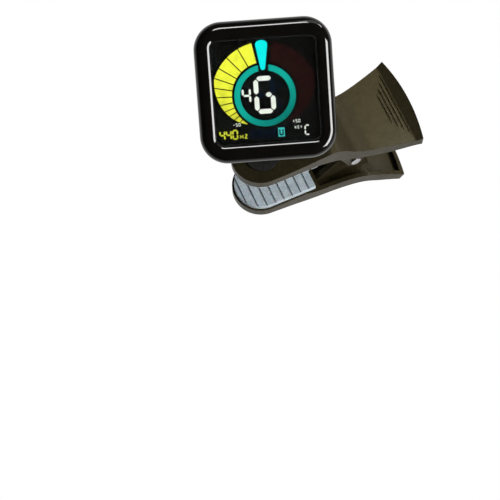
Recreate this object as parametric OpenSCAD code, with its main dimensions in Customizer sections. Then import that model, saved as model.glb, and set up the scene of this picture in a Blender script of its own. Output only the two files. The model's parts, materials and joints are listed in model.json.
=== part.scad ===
// Clip-on tuner: a square display head on a swivel and tilt joint, carried by a spring clip.
// +X runs along the clip from jaw to handles, +Z across the clip (along its hinge pin) and +Y
// from the front arm to the rear arm. The origin is the centre of the front pad's gripping face.
// Everything is drawn with the clip open on a board of thickness board_t.

/* [Clip] */
// Thickness of the board that the clip holds open
board_t = 15; // [13:0.5:16]
// Half width of the jaw
jaw_r = 9.5; // [9:0.1:10]
// X of the front arm's end corners
handle_x = 50.3; // [49.7:0.1:52]
// Half width of the front arm at its end corners
handle_half = 15.2; // [14:0.1:16]
// Half width of the rear arm at its end corners
rear_half = 13.7; // [13:0.1:15]
// Thickness of the arms' decks
deck_t = 1.8; // [1.4:0.1:2.2]
// Thickness of the arms' skirts
skirt_t = 1.5; // [1.2:0.1:1.8]
// Thickness of each rubber pad
pad_t = 2; // [1.8:0.1:2]
// Number of finger grooves on each handle
grooves = 4; // [0:1:5]

/* [Clip hinge] */
// X of the hinge pin
pivot_x = 30.6; // [30:0.1:31]
// Y of the hinge pin
pivot_y = 9.6; // [9:0.1:10]
// Radius of the hinge pin
pin_r = 1.2; // [1:0.1:1.4]
// Radius of the spring wire
wire_r = 0.55; // [0.4:0.05:0.6]
// Turns of the spring
spring_turns = 4; // [3:1:4]

/* [Swivel] */
// X of the swivel axis
swivel_x = 0.5; // [0:0.1:1]
// Turn of the head about the swivel axis, from +Z towards +X
swing = 19.6; // [0:0.1:40]
// Lean of the head's top towards the viewer
lean = 30; // [0:1:45]
// Radius of the swivel disc
disc_r = 5.55; // [5.2:0.05:5.6]
// Y of the tilt hinge
tilt_y = -12; // [-13:0.5:-12]
// Distance of the tilt hinge above the swivel axis
tilt_up = 3.7; // [3:0.1:4]
// Offset of the fork's middle to the right of the swivel axis
fork_x = 1.9; // [1.5:0.1:2]

/* [Head] */
// Width of the head
head_w = 41.9; // [41.8:0.1:44]
// Height of the head
head_h = 42.8; // [42.6:0.1:45]
// Thickness of the head
head_t = 12.6; // [12.6:0.1:14]
// Radius of the head's corners
corner_r = 8.5; // [8:0.5:9]
// Width of the window
window_w = 32.3; // [31:0.1:33]
// Height of the window
window_h = 31.9; // [31:0.1:33]
// Distance of the window's centre below the head's
window_drop = 0.05; // [0:0.05:0.5]
// Height of the tilt hinge below the head's centre
hinge_drop = 14.5; // [14:0.1:14.8]
// Diameter of the coin cell
cell_d = 20; // [20:0.1:20.2]

/* [Hidden] */
$fn = 72;

plastic = "#26261f";
gloss = "#0c0c0d";
steel = "#b9bcc0";
rubber = "#8b9298";

// Arms
jaw_front_y = -5.3;
front_seat_y = -pad_t;
rear_seat_y = board_t + pad_t;
jaw_end_x = 17;
flare_x = 22;
end_bulge = 1.6;
tail_x = handle_x + end_bulge;
rear_x = handle_x - 3.2;
wide = 40;
// End, half width there and curve of the sides for each arm
front_shape = [handle_x, handle_half, 1.4];
rear_shape = [rear_x, rear_half, 1.15];

// Hinge ears, from the middle of the clip outwards
ear_r = 3.2;
rear_ear_z = 3.3;
rear_ear_t = 1.9;
front_ear_z = 5.4;
front_ear_t = 2.5;
pin_half = 8.5;
run_gap = 0.05;
coil_r = 3.3;

// Swivel stack along Y
recess_r = 5.7;
recess_y = jaw_front_y + 1.4;
web_y = recess_y + 1;
boss_r = 2.55;
screw_r = 0.8;
fork_gap = 2.1;
fork_t = 1.6;
knuckle_half = 1.85;
tilt_screw_r = 1;

// Head stack along the head's own Y, from the rim of the bezel backwards
lens_y = 1.2;
lens_t = 1;
ledge_y = lens_y + lens_t;
lcd_y = ledge_y + 0.5;
lcd_t = 1.6;
light_y = lcd_y + lcd_t + 0.05;
light_t = 1.4;
board_y = light_y + light_t + 0.15;
pcb_t = 1;
parts_y = board_y + pcb_t;
cell_y = parts_y + 0.4;
cell_t = 3.2;
split_y = 6.4;
back_wall = 1.4;
wall = 2;
hinge_y = head_t + 4;
back_y = head_t - back_wall;
ledge_w = 0.4;
view_w = window_w - 2 * ledge_w;
view_h = window_h - 2 * ledge_w;
lcd_w = 32.6;
lcd_h = 32.2;
cell_z = 2;
door_r = cell_d / 2 + 1.4;
neck_r = cell_d / 2 + 0.2;
lug_r = cell_d / 2 + 1.2;
flange_t = 0.65;
post_x = 17.6;
post_z = [-8, 10];
button_z = 16.9;
button_pitch = 9;
button_w = 6;
button_h = 2.8;
button_travel = 0.5;
switch_top = 9;

// ---- Curves -------------------------------------------------------------------------------

// A Catmull-Rom curve through the points, with n steps between two of them
function curve_at(a, b, c, d, t) =
    0.5 * (2 * b + (c - a) * t + (2 * a - 5 * b + 4 * c - d) * t * t
        + (3 * b - a - 3 * c + d) * t * t * t);
function curve(p, n = 5) = concat(
    [for (i = [0 : len(p) - 2], j = [0 : n - 1])
        curve_at(p[max(i - 1, 0)], p[i], p[i + 1], p[min(i + 2, len(p) - 1)], j / n)],
    [p[len(p) - 1]]);
function shifted(p, d) = [for (q = p) [q[0], q[1] + d]];
function reversed(p) = [for (i = [len(p) - 1 : -1 : 0]) p[i]];
// Height of a curve at x, between the two samples on either side of it
function height(p, x, i = 0) =
    p[i + 1][0] >= x || i >= len(p) - 2
    ? p[i][1] + (p[i + 1][1] - p[i][1]) * (x - p[i][0]) / (p[i + 1][0] - p[i][0])
    : height(p, x, i + 1);

// Outer face and rim of the front arm, in X and Y; the face turns up into a lip at its end
front_face = concat([[-12, jaw_front_y]], curve([[5, jaw_front_y], [11, -5.75], [17, -6.5],
    [20.5, -6.9], [23, -6.6], [26, -5.1], [29, -3.1], [33, -1.8], [37, -1.65], [42, -2.05], [46, -2.5],
    [48, -2.8], [49, -3.3], [50.3, -4.05], [51.6, -4.85], [tail_x + 1, -5.7]]));
front_rim = concat([[-12, front_seat_y]], curve([[jaw_end_x, front_seat_y], [20, -1.1], [24, 0.1],
    [28, 1.6], [32, 2.5], [36, 2.8], [40, 2.5], [44, 1.6], [48, 0.4], [tail_x + 1, -0.5]]));
// Outer face and rim of the rear arm
rear_face = concat([[-12, rear_seat_y + 3.3]], curve([[0, rear_seat_y + 3.4], [8, rear_seat_y + 4.4],
    [15, 22.5], [22, 23.1], [26, 22.5], [31, 22], [34.5, 22.5], [38, 23.9], [43, 25.7], [48, 27.7],
    [tail_x + 1, 29.8]]));
rear_rim = concat([[-12, rear_seat_y]], curve([[12, rear_seat_y], [16, 18.2], [22, 18.7], [26, 18.1],
    [30, 17.6], [33.5, 17.8], [37, 19], [42, 21.2], [48, 24], [tail_x + 1, 26.6]]));

// Half width at x of an arm of that shape
function half_width(x, shape) =
    jaw_r + (shape[1] - jaw_r) * pow(max(x - flare_x, 0) / (shape[0] - flare_x), shape[2]);

// Outline of an arm in X and Z, drawn in by inset, from x = start to the convex end
module plan(inset, shape, start) {
    end = shape[0];
    sides = [for (x = [start : 1.5 : end - 1.5]) [x, half_width(x, shape) - inset]];
    corner = shape[1] - inset;
    bulge_r = (end_bulge * end_bulge + shape[1] * shape[1]) / (2 * end_bulge);
    tip = [for (k = [-1 : 0.125 : 1])
        let (reach = sqrt(bulge_r * bulge_r - corner * corner * k * k) - bulge_r + end_bulge)
        [end - inset + reach, -k * corner]];
    rotate([90, 0, 0])
        linear_extrude(wide * 3, center = true)
            union() {
                polygon(concat(sides, tip, reversed([for (s = sides) [s[0], -s[1]]])));
                if (start < 1) circle(jaw_r - inset);
            }
}

// The space between two curves in X and Y, all the way across
module band(low, high) {
    linear_extrude(wide, center = true)
        polygon(concat(low, reversed(high)));
}

// One arm's tray: side is 1 where the rim lies at larger Y than the face, and -1 the other way
module tray(face, rim, side, shape) {
    difference() {
        intersection() {
            band(face, rim);
            plan(0, shape, 0);
        }
        intersection() {
            band(shifted(face, side * deck_t), shifted(rim, side * 6));
            plan(skirt_t, shape, jaw_end_x + 1);
        }
    }
}

// A groove across the handle at x, with pointed ends, cut depth deep into the face at y
module finger_groove(x, y, len, depth) {
    half = 0.3;
    taper = 1.6;
    end = len / 2;
    translate([x, y + depth, 0])
        rotate([90, 0, 0])
            linear_extrude(2)
                polygon([[0, -end], [half, taper - end], [half, end - taper], [0, end],
                         [-half, end - taper], [-half, taper - end]]);
}

// Two ears at +Z and -Z, joining a boss on the hinge pin to the arm's deck between x0 and x1
module ears(z, t, face, side, x0, x1) {
    base = [for (x = [x0 : 2 : x1]) [x, height(face, x) + side * deck_t / 2]];
    for (s = [-1, 1])
        translate([0, 0, s * (z + t / 2)])
            linear_extrude(t, center = true) {
                translate([pivot_x, pivot_y]) circle(ear_r);
                polygon(concat([[pivot_x - ear_r, pivot_y]], base, [[pivot_x + ear_r, pivot_y]]));
            }
}

// ---- Clip -----------------------------------------------------------------------------------

module front_arm() {
    groove_x = 47.6;
    groove_len = 23.6;
    color(plastic)
    difference() {
        union() {
            tray(front_face, front_rim, 1, front_shape);
            ears(front_ear_z, front_ear_t, front_face, 1, 20, 36);
        }
        translate([swivel_x, recess_y, 0]) rotate([90, 0, 0]) cylinder(r = recess_r, h = 4);
        translate([swivel_x, 0, 0]) rotate([90, 0, 0]) cylinder(r = boss_r + run_gap, h = 8);
        translate([swivel_x, 0, 0]) rotate([90, 0, 0]) cylinder(r = 4.5, h = -web_y);
        translate([pivot_x, pivot_y, 0]) cylinder(r = pin_r, h = wide, center = true);
        for (i = [0 : grooves - 1])
            let (x = groove_x - 1.22 * i, len = groove_len - 4.05 * i)
                finger_groove(x, height(front_face, x), len, 0.7);
    }
}

// A rubber pad, thick along Y from y, with cross grooves in its gripping face
module jaw_pad(y, grip_side, pocket) {
    pad_r = jaw_r - 0.7;
    ridge = 0.5;
    color(rubber)
    difference() {
        translate([0, y + pad_t, 0])
            rotate([90, 0, 0])
                linear_extrude(pad_t) {
                    circle(pad_r);
                    translate([0, -pad_r]) square([jaw_end_x - 1, 2 * pad_r]);
                }
        for (x = [-7.85 : 3 : 13.15])
            translate([x, grip_side > 0 ? y + pad_t - ridge : y - 1, -wide / 2])
                cube([0.7, ridge + 1, wide]);
        if (pocket)
            translate([swivel_x, y + 1, 0]) rotate([90, 0, 0]) cylinder(r = 4.6, h = 2);
    }
}

module front_pad() { jaw_pad(front_seat_y, 1, true); }

module rear_pad() { jaw_pad(board_t, -1, false); }

module rear_arm() {
    // The end is cut on the slant: the rim reaches further than the face
    slant = 24;
    color(plastic)
    difference() {
        union() {
            intersection() {
                tray(rear_face, rear_rim, -1, rear_shape);
                union() {
                    translate([-12, 0, -wide / 2]) cube([50, wide, wide]);
                    translate([rear_x, height(rear_rim, rear_x), 0])
                        rotate([0, 0, slant]) translate([-rear_x, 0, 0]) plan(0, rear_shape, 0);
                }
            }
            ears(rear_ear_z, rear_ear_t, rear_face, -1, 16, 38);
        }
        translate([pivot_x, pivot_y, 0]) cylinder(r = pin_r + run_gap, h = wide, center = true);
    }
}

module pivot_pin() {
    color(steel)
    translate([pivot_x, pivot_y, 0]) {
        cylinder(r = pin_r, h = 2 * pin_half, center = true);
        for (s = [-1, 1])
            translate([0, 0, s * (pin_half - 0.3)]) cylinder(r = pin_r + 0.5, h = 0.6, center = true);
    }
}

// The spring wire's centre line: front leg, coil, rear leg
coil_pitch = 2 * wire_r + 0.1;
coil_half = spring_turns * coil_pitch / 2;
coil_steps = 20;
function coil_point(k) =
    let (part = k / (spring_turns * coil_steps), a = -90 - 360 * part * (spring_turns + 0.5))
    [pivot_x + coil_r * cos(a), pivot_y + coil_r * sin(a), coil_half * (2 * part - 1)];
front_leg = [[44, 0.35], [40, 0.75], [36.5, 2.4], [33.5, 5.2]];
rear_leg = [[33.5, 14.2], [36.5, 17.6], [40, 21.2], [43, 23]];
wire_line = concat([for (p = front_leg) [p[0], p[1], -coil_half]],
    [for (k = [0 : spring_turns * coil_steps]) coil_point(k)],
    [for (p = rear_leg) [p[0], p[1], coil_half]]);

// A round tube along a line of points that runs mostly in X and Y
module tube(line, r, sides) {
    n = len(line);
    rings = [for (i = [0 : n - 1])
        let (t = line[min(i + 1, n - 1)] - line[max(i - 1, 0)],
             u = cross(t, [0, 0, 1]) / norm(cross(t, [0, 0, 1])),
             v = cross(u, t) / norm(cross(u, t)))
        for (a = [0 : sides - 1])
            line[i] + r * (cos(360 * a / sides) * u + sin(360 * a / sides) * v)];
    skin = [for (i = [0 : n - 2], a = [0 : sides - 1])
        let (b = (a + 1) % sides, here = i * sides, next = (i + 1) * sides)
        [here + a, here + b, next + b, next + a]];
    caps = [[for (a = [sides - 1 : -1 : 0]) a], [for (a = [0 : sides - 1]) (n - 1) * sides + a]];
    polyhedron(rings, concat(skin, caps));
}

module torsion_spring() { color(steel) tube(wire_line, wire_r, 8); }

// ---- Swivel ---------------------------------------------------------------------------------

module in_swivel() {
    translate([swivel_x, 0, 0]) rotate([0, swing, 0]) children();
}

module in_fork() {
    in_swivel() translate([fork_x, 0, 0]) children();
}

// A cylinder along +Y from y0 to y1
module rod_y(r, y0, y1) {
    translate([0, y1, 0]) rotate([90, 0, 0]) cylinder(r = r, h = y1 - y0);
}

// A cylinder along +X from x0 to x1 on the tilt hinge's axis
module rod_tilt(r, x0, x1, sides = $fn) {
    translate([x0, tilt_y, tilt_up]) rotate([0, 90, 0]) cylinder(r = r, h = x1 - x0, $fn = sides);
}

disc_front = jaw_front_y - 0.6;
module swivel_base() {
    color(gloss)
    in_swivel()
        difference() {
            union() {
                rod_y(disc_r, disc_front, recess_y - run_gap);
                rod_y(boss_r, recess_y - 0.5, web_y + run_gap);
                for (s = [-1, 1])
                    translate([fork_x + s * (fork_gap + fork_t / 2), 0, 0])
                        rotate([90, 0, 90])
                            linear_extrude(fork_t, center = true) {
                                translate([tilt_y, tilt_up]) circle(ear_r);
                                polygon([[disc_front + 0.4, -2.6], [disc_front + 0.4, 3.3], [-8.2, 5.2],
                                         [tilt_y, tilt_up + ear_r], [tilt_y, tilt_up - ear_r]]);
                            }
            }
            rod_tilt(tilt_screw_r, -20, 20);
            rod_y(screw_r, disc_front + 0.3, 0);
        }
}

washer_y = web_y + run_gap;
module swivel_washer() {
    color(steel)
    in_swivel()
        difference() {
            rod_y(4.2, washer_y, washer_y + 0.4);
            rod_y(screw_r, -10, 0);
        }
}

module swivel_screw() {
    head_y = washer_y + 0.4;
    color(steel)
    in_swivel()
        difference() {
            union() {
                rod_y(screw_r, disc_front + 0.5, head_y);
                rod_y(1.9, head_y, head_y + 0.8);
            }
            for (a = [0, 90])
                translate([0, head_y + 0.8, 0]) rotate([0, a, 0]) cube([2.4, 0.8, 0.45], center = true);
        }
}

fork_out = fork_gap + fork_t;
module tilt_screw() {
    color(steel)
    in_fork()
        difference() {
            union() {
                rod_tilt(tilt_screw_r, -fork_out - 2.2, fork_out);
                rod_tilt(1.9, fork_out, fork_out + 1.2);
            }
            for (a = [0, 90])
                translate([fork_out + 1.2, tilt_y, tilt_up])
                    rotate([a, 0, 0]) cube([1, 2.4, 0.45], center = true);
        }
}

module tilt_nut() {
    color(steel)
    in_fork()
        difference() {
            rod_tilt(2.3, -fork_out - 1.6, -fork_out, 6);
            rod_tilt(tilt_screw_r, -20, 0);
        }
}

module tilt_washers() {
    color(steel)
    in_fork()
        for (s = [-1, 1])
            difference() {
                rod_tilt(2.7, s * (fork_gap - 0.1) - 0.1, s * (fork_gap - 0.1) + 0.1);
                rod_tilt(tilt_screw_r, -10, 10);
            }
}

// ---- Head -----------------------------------------------------------------------------------

// From the head's own axes (+Y backwards from the bezel's rim) to its place on the clip
module in_head() {
    in_fork()
        translate([0, tilt_y, tilt_up])
            rotate([lean, 0, 0])
                translate([0, -hinge_y, hinge_drop])
                    children();
}

// A block with round corners, w by h, from y0 to y1
module slab(w, h, r, y0, y1) {
    translate([0, y1, 0])
        rotate([90, 0, 0])
            linear_extrude(y1 - y0) {
                square([w, h - 2 * r], center = true);
                square([w - 2 * r, h], center = true);
                for (x = [-1, 1], z = [-1, 1])
                    translate([x * (w / 2 - r), z * (h / 2 - r)]) circle(r);
            }
}

// The same block with its edge rounded off at y0 by a radius; flip puts the round edge at y1
module pillow(w, h, r, y0, y1, edge, flip = false) {
    t = y1 - y0;
    along_x = w - 2 * r;
    along_z = h - 2 * r;
    translate([0, flip ? y1 : y0, 0])
        mirror([0, flip ? 1 : 0, 0]) {
            slab(w, h, r, edge, t);
            slab(w - 2 * edge, h - 2 * edge, r - edge, 0, edge);
            for (x = [-1, 1], z = [-1, 1])
                translate([x * along_x / 2, edge, z * along_z / 2])
                    rotate([90, 0, 0])
                        rotate_extrude() translate([r - edge, 0]) intersection() {
                            circle(edge);
                            translate([0, -edge]) square(2 * edge);
                        }
            for (x = [-1, 1])
                translate([x * (w / 2 - edge), edge, 0]) cylinder(r = edge, h = along_z, center = true);
            for (z = [-1, 1])
                translate([0, edge, z * (h / 2 - edge)])
                    rotate([0, 90, 0]) cylinder(r = edge, h = along_x, center = true);
        }
}

module at_window() { translate([0, 0, -window_drop]) children(); }

module front_bezel() {
    color(gloss)
    in_head()
        difference() {
            pillow(head_w, head_h, corner_r, 0, split_y, 3);
            slab(head_w - 2 * wall, head_h - 2 * wall, corner_r - wall, lcd_y, split_y + 1);
            at_window() slab(window_w, window_h, 2.4, -1, ledge_y);
            at_window() slab(view_w, view_h, 2, -1, split_y);
        }
}

module window_lens() {
    color("#1a1c20", 0.5)
    in_head() at_window() slab(window_w - 0.1, window_h - 0.1, 2.35, lens_y, ledge_y);
}

module lcd_panel() {
    color("#07080a")
    // Two glasses: the rear one reaches further down and carries the ribbon
    in_head()
        at_window() {
            slab(lcd_w, lcd_h, 0.4, lcd_y, lcd_y + lcd_t / 2);
            translate([0, 0, -0.5]) slab(lcd_w, lcd_h + 1, 0.4, lcd_y + lcd_t / 2, lcd_y + lcd_t);
        }
}

module backlight() {
    color("white")
    in_head() at_window() slab(lcd_w, lcd_h, 0.6, light_y, light_y + light_t);
}

module display_ribbon() {
    // A flat flexible strip from the panel's lower edge down to the board, just below the backlight
    ribbon_w = 14;
    ribbon_t = 0.3;
    color("#b5702a")
    in_head()
        translate([-ribbon_w / 2, lcd_y + lcd_t, -window_drop - lcd_h / 2 - 0.2 - ribbon_t])
            cube([ribbon_w, board_y - lcd_y - lcd_t, ribbon_t]);
}

module circuit_board() {
    color("#1d5b34")
    in_head()
        difference() {
            slab(head_w - 2 * wall - 0.3, head_h - 2 * wall - 0.3, corner_r - wall, board_y, parts_y);
            for (x = [-1, 1], z = post_z) translate([x * post_x, 0, z]) rod_y(0.75, 0, 12);
        }
}

module board_chips() {
    color("#161618")
    in_head() {
        translate([9, parts_y, -17]) cube([6, 1, 6]);
        translate([-15.5, parts_y, -12]) cube([3.2, 0.8, 2.6]);
        translate([12.2, parts_y, -8]) cube([2.4, 0.7, 3]);
    }
}

module crystal() {
    color(steel)
    in_head() translate([-15.5, parts_y, -16.8]) cube([5, 1.3, 2.2]);
}

module at_switches() {
    for (i = [-1, 0, 1])
        translate([i * button_pitch, 0, button_z - 0.2]) children();
}

module tact_switches() {
    color("#2b2b2e")
    in_head()
        at_switches() {
            slab(4.2, 2.8, 0.3, parts_y, parts_y + 1.5);
            rod_y(0.9, parts_y + 1.4, switch_top);
        }
}

module circuit_screws() {
    color(steel)
    in_head()
        for (x = [-1, 1], z = post_z)
            translate([x * post_x, 0, z]) {
                rod_y(1.25, board_y - 0.7, board_y);
                rod_y(0.7, board_y - 0.1, parts_y + 2.4);
            }
}

module battery_spring() {
    color("#c9a45a")
    in_head()
        translate([0, 0, cell_z]) {
            rod_y(3, parts_y, parts_y + 0.2);
            rod_y(1.2, parts_y + 0.2, cell_y);
        }
}

module battery_clip() {
    // Two sprung walls of the holder, which touch the rim of the cell
    color("#c9a45a")
    in_head()
        for (s = [-1, 1])
            translate([s * (cell_d / 2 + 0.35), 0, cell_z])
                translate([-0.2, parts_y, -3]) cube([0.4, cell_t - 0.2, 6]);
}

module coin_cell() {
    color("#d5d7da")
    in_head()
        translate([0, 0, cell_z]) {
            rod_y(cell_d / 2 - 1.1, cell_y, cell_y + 0.5);
            rod_y(cell_d / 2, cell_y + 0.5, cell_y + cell_t);
        }
}

piezo_z = -14.9;
module piezo_disc() {
    color("#c8a038")
    in_head() translate([0, 0, piezo_z]) rod_y(4.4, back_y - 0.25, back_y);
}

module piezo_ceramic() {
    color("#efeadb")
    in_head() translate([0, 0, piezo_z]) rod_y(3.1, back_y - 0.5, back_y - 0.25);
}

module rear_shell() {
    color(gloss)
    in_head()
        difference() {
            union() {
                difference() {
                    pillow(head_w, head_h, corner_r, split_y, head_t, 2.4, true);
                    slab(head_w - 2 * wall, head_h - 2 * wall, corner_r - wall, 0, back_y);
                }
                for (x = [-1, 1], z = post_z)
                    translate([x * post_x, 0, z]) rod_y(1.45, parts_y, back_y + 0.5);
                translate([-knuckle_half, back_y + 0.5, -hinge_drop - 3])
                    cube([2 * knuckle_half, hinge_y - back_y - 0.5, 6]);
                translate([-knuckle_half, hinge_y, -hinge_drop])
                    rotate([0, 90, 0]) cylinder(r = 3, h = 2 * knuckle_half);
            }
            for (x = [-1, 1], z = post_z) translate([x * post_x, 0, z]) rod_y(0.7, 0, back_y - 0.5);
            translate([-10, hinge_y, -hinge_drop])
                rotate([0, 90, 0]) cylinder(r = tilt_screw_r + run_gap, h = 20);
            translate([0, 0, cell_z]) {
                rod_y(neck_r + 0.1, 5, 20);
                rod_y(door_r + 0.1, head_t - flange_t - run_gap, 20);
                for (a = [0, 120, 240])
                    rotate([0, a, 0]) translate([lug_r - 1, back_y - 1, -1.7]) cube([1.25, 3, 3.4]);
            }
            for (i = [-1, 0, 1])
                translate([i * button_pitch, 0, button_z])
                    slab(button_w + 0.2, button_h + 0.2, 1.1, 5, 20);
        }
}

module battery_door() {
    // A flanged disc with three lugs under the shell's ledge and a coin slot across its face
    lug_turn = 35;
    color(gloss)
    in_head()
        translate([0, 0, cell_z])
            difference() {
                union() {
                    rod_y(door_r, head_t - flange_t, head_t);
                    rod_y(neck_r, back_y - 0.6, head_t - flange_t);
                    for (a = [0, 120, 240])
                        rotate([0, a + lug_turn, 0])
                            translate([neck_r - 1, back_y - 0.6, -1.5])
                                cube([lug_r - neck_r + 0.9, 0.55, 3]);
                }
                translate([0, head_t, 0]) cube([15, 0.9, 1.8], center = true);
            }
}

// A push button with a retaining flange inside the shell
module button(i) {
    color("#3a3a3c")
    in_head()
        translate([i * button_pitch, 0, button_z]) {
            slab(button_w, button_h, 1, back_y - 0.1, head_t + 0.7);
            slab(button_w + 1, button_h + 0.6, 0.8, back_y - 0.8, back_y - 0.1);
            rod_y(0.8, switch_top + button_travel + 0.05, back_y - 0.7);
        }
}

module power_button() { button(-1); }
module mode_button() { button(0); }
module pitch_button() { button(1); }

front_arm();
front_pad();
pivot_pin();
torsion_spring();
rear_arm();
rear_pad();
swivel_base();
swivel_washer();
swivel_screw();
tilt_screw();
tilt_nut();
tilt_washers();
front_bezel();
window_lens();
lcd_panel();
backlight();
display_ribbon();
circuit_board();
board_chips();
crystal();
tact_switches();
circuit_screws();
battery_spring();
battery_clip();
coin_cell();
piezo_disc();
piezo_ceramic();
rear_shell();
power_button();
mode_button();
pitch_button();
battery_door();
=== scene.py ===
"""A clip-on tuner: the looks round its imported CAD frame, in metres unless a name or comment says mm."""
import json
import math

import bmesh
import bpy
from mathutils import Matrix, Vector


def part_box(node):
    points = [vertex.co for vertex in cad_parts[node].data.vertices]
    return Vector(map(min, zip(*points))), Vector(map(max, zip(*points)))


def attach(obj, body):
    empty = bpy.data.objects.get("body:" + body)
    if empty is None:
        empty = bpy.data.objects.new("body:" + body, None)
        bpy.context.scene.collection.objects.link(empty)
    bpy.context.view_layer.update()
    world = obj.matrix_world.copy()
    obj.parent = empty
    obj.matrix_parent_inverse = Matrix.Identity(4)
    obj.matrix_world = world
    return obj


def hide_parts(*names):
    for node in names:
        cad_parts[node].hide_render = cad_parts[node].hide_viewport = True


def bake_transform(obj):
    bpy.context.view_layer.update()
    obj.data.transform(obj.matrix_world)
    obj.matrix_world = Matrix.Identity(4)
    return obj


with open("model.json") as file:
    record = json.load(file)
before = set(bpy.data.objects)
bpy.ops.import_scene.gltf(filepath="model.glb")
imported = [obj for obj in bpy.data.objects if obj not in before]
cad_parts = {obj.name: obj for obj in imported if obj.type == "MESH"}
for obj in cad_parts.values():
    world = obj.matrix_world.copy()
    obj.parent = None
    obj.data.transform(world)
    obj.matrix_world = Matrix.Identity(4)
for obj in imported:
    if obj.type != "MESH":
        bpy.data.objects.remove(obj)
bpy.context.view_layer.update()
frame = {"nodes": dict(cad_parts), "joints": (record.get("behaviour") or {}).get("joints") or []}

MM = 0.001
NODES = frame["nodes"]
JOINTS = {joint["name"]: joint for joint in frame["joints"]}


# ---- The head's own axes -------------------------------------------------------------------
# +x to the viewer's right along the tilt hinge, +y backwards through the head, +z to its top.

HEAD_X = Vector(JOINTS["head_tilt"]["axis"]).normalized()
HEAD_Y = Vector(JOINTS["door_turn"]["axis"]).normalized()
HEAD_Z = HEAD_X.cross(HEAD_Y)


def reach(node, axis):
    """Lowest and highest place of a CAD node along an axis."""
    places = [v.co.dot(axis) for v in NODES[node].data.vertices]
    return min(places), max(places)


def middle(node, axis):
    low, high = reach(node, axis)
    return (low + high) / 2


def size_of(node, axis):
    low, high = reach(node, axis)
    return high - low


RIM_Y = reach("front_bezel", HEAD_Y)[0]
HEAD_MIDDLE = (HEAD_X * middle("front_bezel", HEAD_X) + HEAD_Z * middle("front_bezel", HEAD_Z)
               + HEAD_Y * RIM_Y)
HEAD = Matrix.Translation(HEAD_MIDDLE) @ Matrix((HEAD_X, HEAD_Y, HEAD_Z)).transposed().to_4x4()


def depth_mm(node, end):
    """Depth of a node's front (end 0) or back (end 1) behind the bezel's rim."""
    return (reach(node, HEAD_Y)[end] - RIM_Y) / MM


# ---- Materials -------------------------------------------------------------------------------

class Paint:
    """A node material round one Principled shader; per_mm is a noise scale in millimetres."""

    def __init__(self, name, colour, roughness, **sockets):
        self.material = bpy.data.materials.new(name)
        self.material.use_nodes = True
        self.tree = self.material.node_tree
        self.shader = self.tree.nodes["Principled BSDF"]
        self.shader.inputs["Base Color"].default_value = (*colour, 1)
        self.shader.inputs["Roughness"].default_value = roughness
        for socket, value in sockets.items():
            self.shader.inputs[socket.replace("_", " ")].default_value = value
        place = self.node("ShaderNodeTexCoord")
        self.scale = self.node("ShaderNodeMapping")
        self.scale.inputs["Scale"].default_value = (1 / MM,) * 3
        self.link(place.outputs["Object"], self.scale.inputs["Vector"])
        self.place = self.scale.outputs["Vector"]

    def node(self, kind, **settings):
        made = self.tree.nodes.new(kind)
        for key, value in settings.items():
            setattr(made, key, value)
        return made

    def link(self, a, b):
        self.tree.links.new(a, b)

    def noise(self, per_mm, detail=3.0, roughness=0.55):
        made = self.node("ShaderNodeTexNoise")
        made.inputs["Scale"].default_value = per_mm
        made.inputs["Detail"].default_value = detail
        made.inputs["Roughness"].default_value = roughness
        self.link(self.place, made.inputs["Vector"])
        return made.outputs["Fac"]

    def ramp(self, value, stops):
        """Colours at places 0 to 1 of a value."""
        made = self.node("ShaderNodeValToRGB")
        elements = made.color_ramp.elements
        while len(elements) < len(stops):
            elements.new(0.5)
        for element, (where, colour) in zip(elements, stops):
            element.position = where
            element.color = (*colour, 1)
        self.link(value, made.inputs["Fac"])
        return made.outputs["Color"]

    def spread(self, value, low, high, start=0.0, end=1.0):
        made = self.node("ShaderNodeMapRange")
        made.inputs["From Min"].default_value = start
        made.inputs["From Max"].default_value = end
        made.inputs["To Min"].default_value = low
        made.inputs["To Max"].default_value = high
        self.link(value, made.inputs["Value"])
        return made.outputs["Result"]

    def mottle(self, per_mm, dark, light, start=0.3, end=0.7):
        colours = self.ramp(self.noise(per_mm), [(start, dark), (end, light)])
        self.link(colours, self.shader.inputs["Base Color"])

    def uneven_gloss(self, per_mm, low, high):
        self.link(self.spread(self.noise(per_mm), low, high, 0.3, 0.7), self.shader.inputs["Roughness"])

    def grain(self, per_mm, height_mm, strength=1.0, detail=2.0):
        """Adds a bump of that height; calls add up."""
        bump = self.node("ShaderNodeBump")
        bump.inputs["Strength"].default_value = strength
        bump.inputs["Distance"].default_value = height_mm * MM
        self.link(self.noise(per_mm, detail), bump.inputs["Height"])
        taken = self.shader.inputs["Normal"].links
        if taken:
            self.link(taken[0].from_socket, bump.inputs["Normal"])
        self.link(bump.outputs["Normal"], self.shader.inputs["Normal"])


def clip_plastic():
    paint = Paint("clip_plastic", (0.013, 0.0105, 0.005), 0.45, Specular_IOR_Level=0.32,
                  Specular_Tint=(1.0, 0.84, 0.4, 1.0), Coat_Weight=0.14, Coat_Roughness=0.16)
    paint.mottle(0.8, (0.009, 0.0074, 0.0035), (0.017, 0.0138, 0.0066))
    paint.uneven_gloss(0.35, 0.42, 0.5)
    paint.grain(4.0, 0.04, 0.8)
    paint.grain(1.1, 0.03, 0.4)
    return paint.material


def gloss_black():
    paint = Paint("gloss_black", (0.002, 0.002, 0.0017), 0.07)
    paint.mottle(0.15, (0.0015, 0.0014, 0.0011), (0.0026, 0.0023, 0.0018))
    paint.uneven_gloss(0.4, 0.05, 0.09)
    paint.grain(0.5, 0.004, 0.3)
    return paint.material


def satin_black():
    paint = Paint("satin_black", (0.013, 0.013, 0.012), 0.34)
    paint.mottle(0.7, (0.010, 0.010, 0.010), (0.017, 0.017, 0.016))
    paint.uneven_gloss(0.8, 0.27, 0.4)
    paint.grain(5.0, 0.012, 0.5)
    return paint.material


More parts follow.
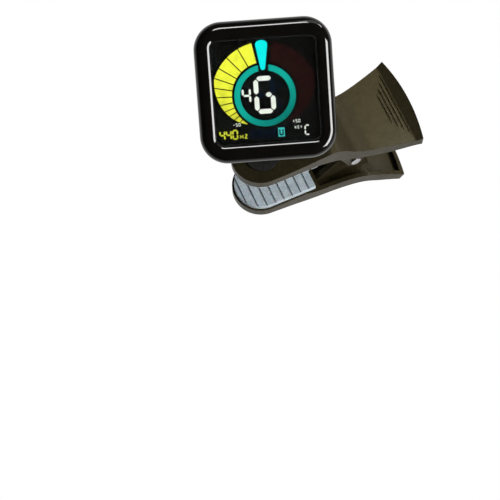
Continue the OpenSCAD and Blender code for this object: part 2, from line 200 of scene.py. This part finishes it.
def pad_rubber():
    paint = Paint("pad_rubber", (0.3, 0.35, 0.38), 0.48, Subsurface_Weight=0.15, Subsurface_Scale=0.001)
    paint.mottle(0.5, (0.25, 0.30, 0.33), (0.36, 0.41, 0.44))
    paint.grain(4.0, 0.02, 0.5)
    return paint.material


def smoked_glass():
    paint = Paint("smoked_glass", (0.86, 0.88, 0.89), 0.02, Transmission_Weight=1.0, IOR=1.12)
    paint.uneven_gloss(0.3, 0.0, 0.02)
    return paint.material


def metal(name, colour, roughness, per_mm=2.0, height_mm=0.01):
    paint = Paint(name, colour, roughness, Metallic=1.0)
    paint.mottle(per_mm, tuple(c * 0.85 for c in colour), colour)
    paint.uneven_gloss(per_mm * 2, roughness * 0.75, roughness * 1.3)
    paint.grain(per_mm * 3, height_mm, 0.4)
    return paint.material


def moulded(name, colour, roughness, per_mm=1.5):
    paint = Paint(name, colour, roughness)
    paint.mottle(per_mm, tuple(c * 0.8 for c in colour), tuple(min(1, c * 1.12) for c in colour))
    paint.uneven_gloss(per_mm, roughness * 0.85, min(1, roughness * 1.15))
    paint.grain(per_mm * 3, 0.012, 0.5)
    return paint.material


def floor_paper():
    paint = Paint("floor_paper", (0.84, 0.84, 0.83), 0.8)
    paint.mottle(0.02, (0.83, 0.83, 0.82), (0.85, 0.85, 0.84))
    return paint.material


def display_black():
    """The dark panel, a shade lighter than the bezel."""
    paint = Paint("display_black", (0.0045, 0.005, 0.0045), 0.6, Specular_IOR_Level=0.02)
    paint.mottle(0.15, (0.0036, 0.0041, 0.0036), (0.0056, 0.006, 0.0054))
    paint.uneven_gloss(0.6, 0.5, 0.65)
    return paint.material


def glowing(name, colour, strength, shade=0.25, slope=(0.0, 0.0), centre=None):
    """A display ink, uneven by shade; slope brightens it along the head's own x and z, per mm."""
    paint = Paint(name, tuple(c * 0.05 for c in colour), 0.5, Specular_IOR_Level=0.015)
    light = paint.spread(paint.noise(0.35, 2.0), 1 - shade, 1.0, 0.3, 0.7)
    if centre is not None:
        along = HEAD_X * slope[0] + HEAD_Z * slope[1]
        dot = paint.node("ShaderNodeVectorMath", operation="DOT_PRODUCT")
        dot.inputs[1].default_value = along
        paint.link(paint.place, dot.inputs[0])
        start = (centre / MM).dot(along)
        fall = paint.spread(dot.outputs["Value"], 0.0, 2.0, start - 1, start + 1)
        product = paint.node("ShaderNodeMath", operation="MULTIPLY")
        paint.link(light, product.inputs[0])
        paint.link(fall, product.inputs[1])
        light = product.outputs["Value"]
    glow = paint.ramp(light, [(0.0, (0, 0, 0)), (1.0, colour)])
    paint.link(glow, paint.shader.inputs["Emission Color"])
    paint.shader.inputs["Emission Strength"].default_value = strength
    return paint.material


def cover(node, material):
    """Gives a CAD node one material."""
    mesh = NODES[node].data
    mesh.materials.clear()
    mesh.materials.append(material)


# ---- Meshes -----------------------------------------------------------------------------------

PIECE_SHARP = math.radians(35)
CAD_SHARP = math.radians(20)


def finish_mesh(name, bm, material, body, place=None, smooth=True):
    """Turns a bmesh into a piece that rides on a body."""
    bmesh.ops.recalc_face_normals(bm, faces=bm.faces)
    mesh = bpy.data.meshes.new(name)
    bm.to_mesh(mesh)
    bm.free()
    if place is not None:
        mesh.transform(place)
    piece = bpy.data.objects.new(name, mesh)
    bpy.context.scene.collection.objects.link(piece)
    mesh.materials.append(material)
    if smooth:
        for polygon in mesh.polygons:
            polygon.use_smooth = True
        mesh.set_sharp_from_angle(angle=PIECE_SHARP)
    if body:
        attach(piece, body)
    return piece


def soften(node, width_mm, segments=3, angle=32):
    """Rounds a CAD node's sharp edges with a small bevel, as moulding or tumbling leaves them."""
    piece = NODES[node]
    for polygon in piece.data.polygons:
        polygon.use_smooth = True
    weld = piece.modifiers.new("weld", "WELD")
    weld.merge_threshold = 1e-6
    bevel = piece.modifiers.new("edges", "BEVEL")
    bevel.width = width_mm * MM
    bevel.segments = segments
    bevel.limit_method = "ANGLE"
    bevel.angle_limit = math.radians(angle)
    bevel.harden_normals = False
    normals = piece.modifiers.new("normals", "WEIGHTED_NORMAL")
    normals.keep_sharp = True
    normals.weight = 60


def smooth_curves(node):
    """Smooth shading on a CAD node's curves, with its flat faces kept flat."""
    mesh = NODES[node].data
    for polygon in mesh.polygons:
        polygon.use_smooth = True
    mesh.set_sharp_from_angle(angle=CAD_SHARP)


def round_square(width, height, radius, y, drop=0.0, steps=14):
    """A ring of points round a rectangle with round corners, in the head's own millimetres."""
    points = []
    for corner in range(4):
        side_x = 1 if corner in (0, 3) else -1
        side_z = 1 if corner < 2 else -1
        for step in range(steps + 1):
            angle = math.radians(90 * (corner + step / steps))
            points.append(Vector((
                side_x * (width / 2 - radius) + radius * math.cos(angle),
                y,
                side_z * (height / 2 - radius) + radius * math.sin(angle) - drop)))
    return points


def loft(bm, rings, closed):
    """Quads between neighbouring rings of equal length; closed joins the last ring to the first."""
    made = [[bm.verts.new(p) for p in ring] for ring in rings]
    pairs = list(zip(made, made[1:]))
    if closed:
        pairs.append((made[-1], made[0]))
    count = len(made[0])
    for a, b in pairs:
        for i in range(count):
            bm.faces.new((a[i], a[(i + 1) % count], b[(i + 1) % count], b[i]))
    return made


def prism(bm, outline, front, back):
    """A flat closed plate with that outline of (x, z) millimetres, between two depths."""
    faces = []
    for depth in (front, back):
        faces.append(bm.faces.new([bm.verts.new((x, depth, z)) for x, z in outline]))
    a, b = (list(face.verts) for face in faces)
    for i in range(len(a)):
        j = (i + 1) % len(a)
        bm.faces.new((a[i], a[j], b[j], b[i]))


HEAD_MM = HEAD @ Matrix.Diagonal((MM, MM, MM, 1))


# ---- Head casing --------------------------------------------------------------------------------

def front_bezel(material):
    """The casing's front: a ring of rounded squares, from the split round the rim to the inside."""
    width, height = size_of("front_bezel", HEAD_X) / MM, size_of("front_bezel", HEAD_Z) / MM
    split = depth_mm("front_bezel", 1)
    corner, edge = 8.5, 3.0
    window_w, window_h = size_of("window_lens", HEAD_X) / MM + 0.1, size_of("window_lens", HEAD_Z) / MM + 0.1
    drop = (middle("front_bezel", HEAD_Z) - middle("window_lens", HEAD_Z)) / MM
    window_r, ledge, lens_back = 2.4, 0.4, depth_mm("window_lens", 1)
    cavity, cavity_front = 2.0, lens_back + 0.5
    rings = []

    def outer(inset, y):
        rings.append(round_square(width - 2 * inset, height - 2 * inset, corner - inset, y))

    def inner(grow, y, radius=None):
        radius = radius or window_r + grow
        rings.append(round_square(window_w + 2 * grow, window_h + 2 * grow, radius, y, drop))

    outer(cavity, split)
    outer(0.15, split)
    outer(0.0, split - 0.15)
    outer(0.0, split - 0.8)
    turns = 12
    for k in range(turns + 1):
        angle = math.radians(90 * k / turns)
        outer(edge * (1 - math.cos(angle)), edge * (1 - math.sin(angle)))
    # From the rim's crest into the window, then the ledge that holds the lens
    inner(0.9, 0.0)
    inner(0.8, 0.02)
    inner(0.1, 0.35)
    inner(0.02, 0.42)
    inner(0.0, 0.55)
    inner(0.0, lens_back)
    inner(-ledge, lens_back, window_r - ledge)
    inner(-ledge, cavity_front, window_r - ledge)
    outer(cavity, cavity_front)
    bm = bmesh.new()
    loft(bm, rings, closed=True)
    piece = finish_mesh("bezel", bm, material, "head", HEAD_MM)
    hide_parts("front_bezel")
    return piece


# ---- Display ------------------------------------------------------------------------------------

# Millimetres: x to the viewer's right and z upwards from the middle of the head
INK_FRONT = depth_mm("lcd_panel", 0) - 0.05
INK_THICK = 0.03
LETTER_LIFT = 0.04
DIAL = Vector((-0.28, -1.54))
RING_OUT, RING_IN = 9.35, 7.55
SCALE_IN, SCALE_OUT = 10.08, 16.2
SCALE_TAPER_FROM, SCALE_END = 68.0, 145.0
SCALE_MARKS = (10.5, 27, 42, 56, 67.5, 78, 88.7, 98.6, 108.2, 116.5, 124.5, 133, SCALE_END)


def on_dial(radius, degrees, side=1):
    """A point at an angle from the dial's top, clockwise where side is 1."""
    angle = math.radians(degrees)
    return DIAL.x + side * radius * math.sin(angle), DIAL.y + radius * math.cos(angle)


def arc(radius, start, end, side=1, step=3.0):
    count = max(2, round(abs(end - start) / step))
    return [on_dial(radius(start + (end - start) * k / count), start + (end - start) * k / count, side)
            for k in range(count + 1)]


def scale_radius(degrees):
    taper = max(0.0, degrees - SCALE_TAPER_FROM) / (SCALE_END - SCALE_TAPER_FROM)
    return SCALE_OUT - (SCALE_OUT - SCALE_IN - 0.1) * taper ** 1.05


def scale_plates(side):
    """The tapered scale's fields on one side of the pointer."""
    plates = []
    half_gap = 0.16
    outer_gap = math.degrees(half_gap / SCALE_OUT)
    inner_gap = math.degrees(half_gap / SCALE_IN)
    for start, end in zip(SCALE_MARKS, SCALE_MARKS[1:]):
        outside = arc(scale_radius, start + outer_gap, end - outer_gap, side)
        inside = arc(lambda degrees: SCALE_IN, end - inner_gap, start + inner_gap, side)
        plates.append(outside + inside)
    return plates


def ring_plate():
    """The ring round the note, open at its top; the gap is wider on the inside."""
    gap, inside_more = 10.0, 1.5
    outside = arc(lambda degrees: RING_OUT, gap, 360 - gap)
    return outside + arc(lambda degrees: RING_IN, 360 - gap - inside_more, gap + inside_more)


def pointer_plate():
    """The needle: a wide round top that narrows to a small round tip."""
    top_half, tip_half, shoulder, top, tip, tip_rise = 1.84, 0.72, 13.8, 15.15, 6.15, 0.6
    top_steps, tip_steps = 12, 8
    middle_x = DIAL.x - 0.17
    points = []
    for k in range(top_steps + 1):
        angle = math.radians(180 * k / top_steps)
        points.append((middle_x + top_half * math.cos(angle), shoulder + (top - shoulder) * math.sin(angle)))
    for k in range(tip_steps + 1):
        angle = math.radians(180 + 180 * k / tip_steps)
        points.append((middle_x + tip_half * math.cos(angle), tip + tip_rise + tip_rise * math.sin(angle)))
    return points


def bar(a, b, thick, point=0.12):
    """A stroke from a to b whose ends narrow to a share of its thickness, like a display segment's."""
    a, b = Vector(a), Vector(b)
    along = (b - a).normalized()
    side = Vector((-along.y, along.x)) * thick / 2
    cut = along * thick * 0.42
    corners = [a + side * point, a + cut + side, b - cut + side, b + side * point,
               b - side * point, b - cut - side, a + cut - side, a - side * point]
    return [tuple(c) for c in corners]


# Ends of each stroke in a box of 1 by 1: a to g as on a seven-segment digit, the rest for letters
SEGMENTS = {
    "a": ((0, 1), (1, 1)), "b": ((1, 1), (1, 0.5)), "c": ((1, 0.5), (1, 0)), "d": ((0, 0), (1, 0)),
    "e": ((0, 0.5), (0, 0)), "f": ((0, 1), (0, 0.5)), "g": ((0, 0.5), (1, 0.5)),
    "G": ((0.5, 0.5), (1, 0.5)), "g1": ((0, 0.5), (0.5, 0.5)),
    "m": ((0.5, 1), (0.5, 0.5)), "n": ((0.5, 0.5), (0.5, 0)),
    "x": ((0, 0.5), (1, 1)), "y": ((0, 0.5), (1, 0)), "u": ((0, 1), (0.5, 0.5)), "v": ((1, 1), (0.5, 0.5)),
    "z": ((0, 0), (1, 1)), "q": ((0, 1), (0.5, 0)), "r": ((1, 1), (0.5, 0))}
FOUR = ("f", "b", "g", "c")
ZERO = ("a", "b", "c", "d", "e", "f")
FIVE = ("a", "f", "g", "c", "d")
PLUS, MINUS = ("g", "m", "n"), ("g",)
LETTER_C = ("a", "f", "e", "d")
LETTER_E = ("a", "f", "e", "g", "d")
LETTER_G = ("a", "f", "e", "d", "c", "G")
LETTER_H = ("f", "e", "b", "c", "g")
LETTER_K = ("f", "e", "x", "y")
LETTER_U = ("f", "e", "d", "b", "c")
LETTER_V = ("q", "r")
LETTER_Y = ("u", "v", "n")
LETTER_Z = ("a", "z", "d")
LETTER_B = (*ZERO, "g")


def glyph(x, z, width, height, thick, strokes, gap=0.12):
    """Strokes of a character in a box whose lower left corner is x, z."""
    plates = []
    for name in strokes:
        (ax, az), (bx, bz) = SEGMENTS[name]
        a = Vector((x + ax * width, z + az * height))
        b = Vector((x + bx * width, z + bz * height))
        inset = (b - a).normalized() * (gap + thick * 0.14)
        plates.append(bar(a + inset, b - inset, thick))
    return plates


def box_plate(x0, z0, x1, z1):
    return [(x0, z0), (x1, z0), (x1, z1), (x0, z1)]


def ink(name, plates, material, lift=0.0):
    """A display layer: thin plates just above the panel's front."""
    bm = bmesh.new()
    for outline in plates:
        prism(bm, outline, INK_FRONT - lift, INK_FRONT - lift + INK_THICK)
    return finish_mesh(name, bm, material, "head", HEAD_MM, smooth=False)


def word(x, z, width, height, thick, pitch, letters):
    """Small characters in a row, one pitch apart."""
    plates = []
    for k, strokes in enumerate(letters):
        plates += glyph(x + k * pitch, z, width, height, thick, strokes, gap=0.02)
    return plates


def display():
    centre = HEAD @ Vector((DIAL.x * MM, 0, DIAL.y * MM))
    teal = glowing("ink_teal", (0.004, 0.335, 0.26), 1.3, 0.12, (-0.03, 0.046), centre)
    teal_flat = glowing("ink_teal_flat", (0.05, 0.58, 0.52), 1.1, 0.15)
    cyan = glowing("ink_cyan", (0.004, 0.86, 0.82), 1.15, 0.12)
    yellow = glowing("ink_yellow", (0.78, 0.80, 0.045), 1.3, 0.28, (0.0, 0.02), centre)
    white = glowing("ink_white", (0.78, 0.82, 0.72), 1.3, 0.15)
    red = glowing("ink_red_unlit", (0.018, 0.0045, 0.0035), 1.0, 0.3)
    blue = glowing("ink_blue_unlit", (0.003, 0.009, 0.019), 1.0, 0.3)
    field = glowing("ink_field_unlit", (0.0012, 0.003, 0.008), 1.0, 0.3)
    dark = glowing("ink_dark", (0.001, 0.002, 0.003), 0.5, 0.3)

    ink("display_ring", [ring_plate()], teal)
    ink("display_pointer", [pointer_plate()], cyan)
    ink("display_scale_flat", scale_plates(-1), yellow)
    ink("display_scale_sharp", scale_plates(1), red)

    note = (-2.9, -6.3, 5.0, 9.95, 1.42)
    ink("display_note", glyph(*note, LETTER_G), white)
    ghosts = glyph(*note, ("b", "g1"))
    ghosts += word(3.7, 0.2, 1.2, 2.0, 0.3, 0, [("m", "n"), ("f", "e")])
    ghosts += word(3.5, 0.9, 1.7, 0.7, 0.3, 0, [("a", "d")])
    ghosts += glyph(3.6, -5.6, 1.1, 2.3, 0.35, ("f", "e", "d", "c", "g"), gap=0.02)
    ink("display_unlit_note", ghosts, blue)
    ink("display_octave", glyph(-7.0, -3.35, 2.15, 4.2, 0.62, FOUR, gap=0.06), white)

    ink("display_pitch", word(-14.75, -14.05, 1.35, 2.6, 0.46, 1.95, [FOUR, FOUR, ZERO])
        + word(-8.65, -14.05, 0.8, 1.15, 0.3, 1.35, [LETTER_H, LETTER_Z]), yellow)
    ink("display_marks", word(-10.6, -10.25, 0.5, 0.85, 0.2, 0.85, [MINUS, FIVE, ZERO])
        + word(7.6, -10.3, 0.5, 0.85, 0.2, 0.85, [PLUS, FIVE, ZERO])
        + word(8.1, -12.15, 0.5, 0.75, 0.2, 0.85, [LETTER_K, LETTER_E, LETTER_Y])
        + glyph(11.2, -14.2, 1.35, 2.8, 0.42, LETTER_C, gap=0.08), white)

    box_w, box_h, box_step, box_x, box_z = 1.85, 2.6, 2.15, -5.65, -14.25
    letters = [LETTER_C, LETTER_G, LETTER_B, LETTER_V]
    boxes = [box_plate(box_x + k * box_step, box_z, box_x + k * box_step + box_w, box_z + box_h)
             for k in range(len(letters))]
    ink("display_modes_unlit", boxes, field)
    unlit = word(box_x + 0.5, box_z + 0.55, box_w - 1.0, box_h - 1.1, 0.32, box_step, letters)
    ink("display_mode_letters", unlit, blue, lift=LETTER_LIFT)
    lit_x = box_x + len(letters) * box_step
    lit_box = box_plate(lit_x, box_z - 0.05, lit_x + box_w + 0.1, box_z + box_h + 0.1)
    ink("display_mode_lit", [lit_box], teal_flat)
    lit = glyph(lit_x + 0.5, box_z + 0.5, 0.95, box_h - 0.9, 0.5, LETTER_U, gap=-0.1)
    ink("display_mode_lit_letter", lit, dark, lift=LETTER_LIFT)


# ---- Spring -------------------------------------------------------------------------------------

def torsion_spring(material):
    """A coil round the hinge pin with a leg on each arm, in one fixed shape; the real spring winds up as the
    clip closes.
    """
    pivot = Vector(JOINTS["clip_hinge"]["pos_m"])
    low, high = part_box("torsion_spring")
    wire, coil, turns, steps = 0.55, 3.3, 4.5, 28
    half = (high.z - low.z) / MM / 2 - wire
    centre = pivot / MM
    line = [Vector((x, y, -half)) for x, y in ((44, 0.35), (42, 0.45), (40, 0.75), (38.2, 1.35),
                                               (36.5, 2.4), (35, 3.8), (33.5, 5.2), (32, 6.05))]
    total = int(turns * steps)
    for k in range(total + 1):
        angle = math.radians(-90 - 360 * turns * k / total)
        rise = -half + 2 * half * k / total
        line.append(centre + Vector((coil * math.cos(angle), coil * math.sin(angle), rise)))
    line += [Vector((x, y, half)) for x, y in ((32, 13.25), (33.5, 14.2), (35, 15.8), (36.5, 17.6),
                                               (38.2, 19.45), (40, 21.2), (41.5, 22.2), (43, 23))]
    line = [point * MM for point in line]
    half *= MM
    wire *= MM
    bm = bmesh.new()
    sides = 14
    turn = [(math.cos(math.tau * s / sides), math.sin(math.tau * s / sides)) for s in range(sides)]
    rings = []
    for k, point in enumerate(line):
        ahead = (line[min(k + 1, len(line) - 1)] - line[max(k - 1, 0)]).normalized()
        out = ahead.cross(Vector((0, 0, 1))).normalized()
        up = out.cross(ahead).normalized()
        rings.append([point + (out * c + up * s) * wire for c, s in turn])
    made = loft(bm, rings, closed=False)
    bm.faces.new(made[0])
    bm.faces.new(made[-1])
    piece = finish_mesh("spring", bm, material, None)
    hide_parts("torsion_spring")
    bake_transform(piece)
    return piece


# ---- Stage --------------------------------------------------------------------------------------

VIEW_TILT = math.radians(21.4)
VIEW_YAW = math.radians(-0.43)
VIEW_ROLL = math.radians(24)
VIEW_DISTANCE = 0.4436
LENS_MM = 102.0
VIEW_AIM = Vector((-0.01534, -0.0002, -0.02616))
ACROSS = Vector((math.cos(VIEW_ROLL), 0, -math.sin(VIEW_ROLL)))
UPWARD = Vector((math.sin(VIEW_ROLL), 0, math.cos(VIEW_ROLL)))
INTO = Vector((0, 1, 0))


def camera():
    """Below the clip's normal, with the clip's long axis rising to the right."""
    sight = INTO * math.cos(VIEW_TILT) + UPWARD * math.sin(VIEW_TILT) + ACROSS * math.sin(VIEW_YAW)
    sight.normalize()
    right = sight.cross(UPWARD).normalized()
    up = right.cross(sight)
    eye = bpy.data.objects.new("camera", bpy.data.cameras.new("camera"))
    eye.data.lens = LENS_MM
    eye.data.clip_start = 0.01
    eye.data.clip_end = 20
    turned = Matrix((right, up, -sight)).transposed().to_4x4()
    eye.matrix_world = Matrix.Translation(VIEW_AIM - sight * VIEW_DISTANCE) @ turned
    bpy.context.scene.collection.objects.link(eye)
    bpy.context.scene.camera = eye
    return sight, right, up


def soft_light(name, place, target, width, height, watts):
    lamp = bpy.data.objects.new(name, bpy.data.lights.new(name, "AREA"))
    lamp.data.shape = "RECTANGLE"
    lamp.data.size = width
    lamp.data.size_y = height
    lamp.data.energy = watts
    lamp.location = place
    lamp.rotation_mode = "QUATERNION"
    lamp.rotation_quaternion = (place - target).to_track_quat("Z", "Y")
    bpy.context.scene.collection.objects.link(lamp)


def stage():
    sight, right, up = camera()

    def around(a, b, c):
        """A place to the camera's right of the head by a, above it by b and nearer by c."""
        return HEAD_MIDDLE + right * a + up * b - sight * c

    # Three boxes for the bezel's edges and corner, and a weak one from above
    soft_light("right_box", around(0.395, -0.16, 0.29), HEAD_MIDDLE, 0.22, 0.44, 5.4)
    soft_light("top_box", around(-0.01, 0.285, 0.41), HEAD_MIDDLE, 0.25, 0.09, 1.3)
    soft_light("corner_glint", around(0.34, 0.34, 0.14), HEAD_MIDDLE, 0.05, 0.09, 0.2)
    soft_light("sky_box", around(0.25, 0.5, 0.25), HEAD_MIDDLE, 0.5, 0.25, 0.45)

    bm = bmesh.new()
    bmesh.ops.create_grid(bm, x_segments=8, y_segments=8, size=3.0)
    floor = finish_mesh("floor", bm, floor_paper(), None, smooth=False)
    floor.location.z = -0.6
    floor.visible_glossy = False

    scene = bpy.context.scene
    world = bpy.data.worlds.new("studio")
    scene.world = world
    world.use_nodes = True
    tree = world.node_tree
    background = tree.nodes["Background"]
    background.inputs["Color"].default_value = (1, 1, 1, 1)
    # White to the camera; otherwise a white backdrop behind the clip and a dim room on the viewer's side
    place = tree.nodes.new("ShaderNodeTexCoord")
    dot = tree.nodes.new("ShaderNodeVectorMath")
    dot.operation = "DOT_PRODUCT"
    dot.inputs[1].default_value = sight
    tree.links.new(place.outputs["Generated"], dot.inputs[0])
    backdrop = tree.nodes.new("ShaderNodeMapRange")
    backdrop.interpolation_type = "SMOOTHSTEP"
    backdrop.inputs["From Min"].default_value = -0.15
    backdrop.inputs["From Max"].default_value = 0.5
    backdrop.inputs["To Min"].default_value = 0.015
    backdrop.inputs["To Max"].default_value = 0.9
    tree.links.new(dot.outputs["Value"], backdrop.inputs["Value"])
    rays = tree.nodes.new("ShaderNodeLightPath")
    strength = tree.nodes.new("ShaderNodeMix")
    strength.inputs["B"].default_value = 1.0
    tree.links.new(rays.outputs["Is Camera Ray"], strength.inputs["Factor"])
    tree.links.new(backdrop.outputs["Result"], strength.inputs["A"])
    tree.links.new(strength.outputs["Result"], background.inputs["Strength"])
    scene.view_settings.view_transform = "Standard"
    scene.view_settings.look = "None"


# ---- Putting it together ----------------------------------------------------------------------

def dress_frame():
    """Materials and edges of the CAD nodes, then the two pieces that replace a node."""
    plastic = clip_plastic()
    gloss = gloss_black()
    satin = satin_black()
    rubber = pad_rubber()
    steel = metal("bright_steel", (0.62, 0.62, 0.63), 0.26)
    wire = metal("spring_wire", (0.55, 0.55, 0.56), 0.2)
    brass = metal("brass", (0.62, 0.46, 0.2), 0.3)
    dark_part = moulded("dark_parts", (0.012, 0.012, 0.013), 0.5)
    # Material and edge width in mm; 0 leaves the edges as they are
    looks = {
        "front_arm": (plastic, 0.35), "rear_arm": (plastic, 0.35),
        "front_pad": (rubber, 0.25), "rear_pad": (rubber, 0.25),
        "pivot_pin": (steel, 0.15), "swivel_base": (satin, 0.2), "swivel_washer": (steel, 0.08),
        "swivel_screw": (steel, 0.12), "tilt_screw": (steel, 0.12), "tilt_nut": (steel, 0.12),
        "tilt_washers": (steel, 0.04), "rear_shell": (gloss, 0.0), "battery_door": (gloss, 0.0),
        "power_button": (moulded("key_power", (0.35, 0.05, 0.04), 0.45), 0.2),
        "mode_button": (moulded("key_mode", (0.05, 0.05, 0.052), 0.45), 0.2),
        "pitch_button": (moulded("key_pitch", (0.05, 0.05, 0.052), 0.45), 0.2),
        "window_lens": (smoked_glass(), 0.0), "lcd_panel": (display_black(), 0.0),
        "backlight": (moulded("backlight", (0.85, 0.86, 0.86), 0.4), 0.0),
        "display_ribbon": (moulded("ribbon", (0.45, 0.2, 0.06), 0.4), 0.0),
        "circuit_board": (moulded("board", (0.02, 0.11, 0.045), 0.4), 0.0),
        "board_chips": (dark_part, 0.0), "tact_switches": (dark_part, 0.0), "crystal": (steel, 0.1),
        "circuit_screws": (steel, 0.05), "battery_spring": (brass, 0.0), "battery_clip": (brass, 0.0),
        "coin_cell": (steel, 0.15), "piezo_disc": (brass, 0.0),
        "piezo_ceramic": (moulded("ceramic", (0.85, 0.82, 0.74), 0.6), 0.0)}
    for node, (material, edge_mm) in looks.items():
        cover(node, material)
        if edge_mm:
            soften(node, edge_mm)
        else:
            smooth_curves(node)
    front_bezel(gloss)
    torsion_spring(wire)


stage()
dress_frame()
display()
